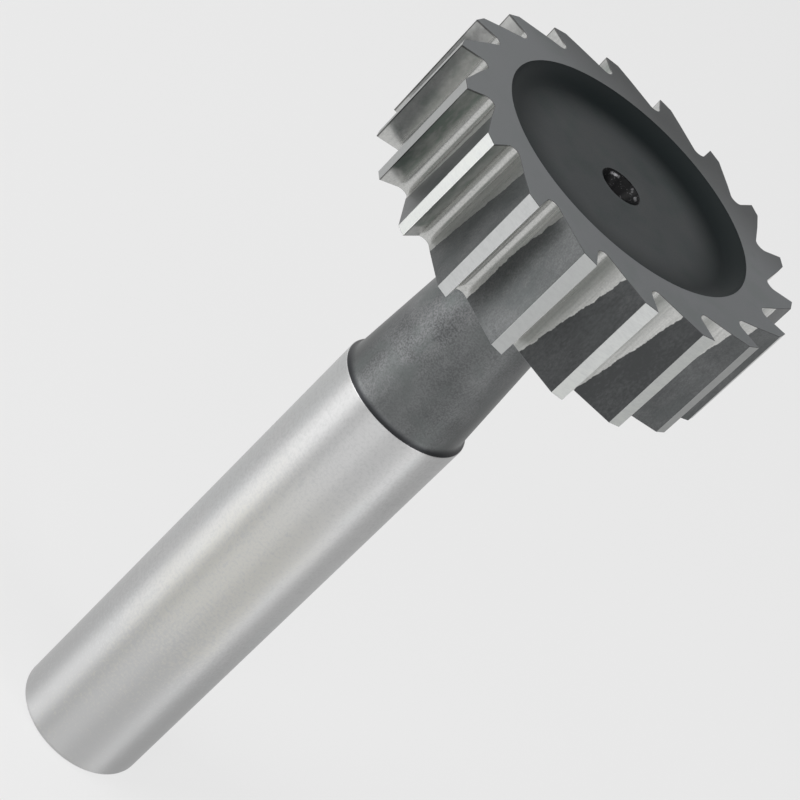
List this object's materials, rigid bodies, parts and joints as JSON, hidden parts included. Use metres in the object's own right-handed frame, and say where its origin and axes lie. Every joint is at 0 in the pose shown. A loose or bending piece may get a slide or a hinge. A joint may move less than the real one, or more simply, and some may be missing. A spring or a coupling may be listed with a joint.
{
  "type": "woodruff keyseat cutter",
  "caption": "Toothed milling disc with a hollowed face on a tapered neck and a plain round shank, for cutting half-moon key slots in shafts.",
  "frame": {"origin": "centre of the shank's flat end, on which the cutter stands", "axes": "+Z runs along the axis from the shank to the toothed head, and one cutting edge lies on +X"},
  "size_m": [0.0324, 0.032, 0.0714],
  "materials": {
    "tool_steel": "shank, lands and gullets ground bright, all else dark steam oxide"
  },
  "bodies": {
    "root": {"keyseat_cutter": "tool_steel"}
  },
  "joints": []
}
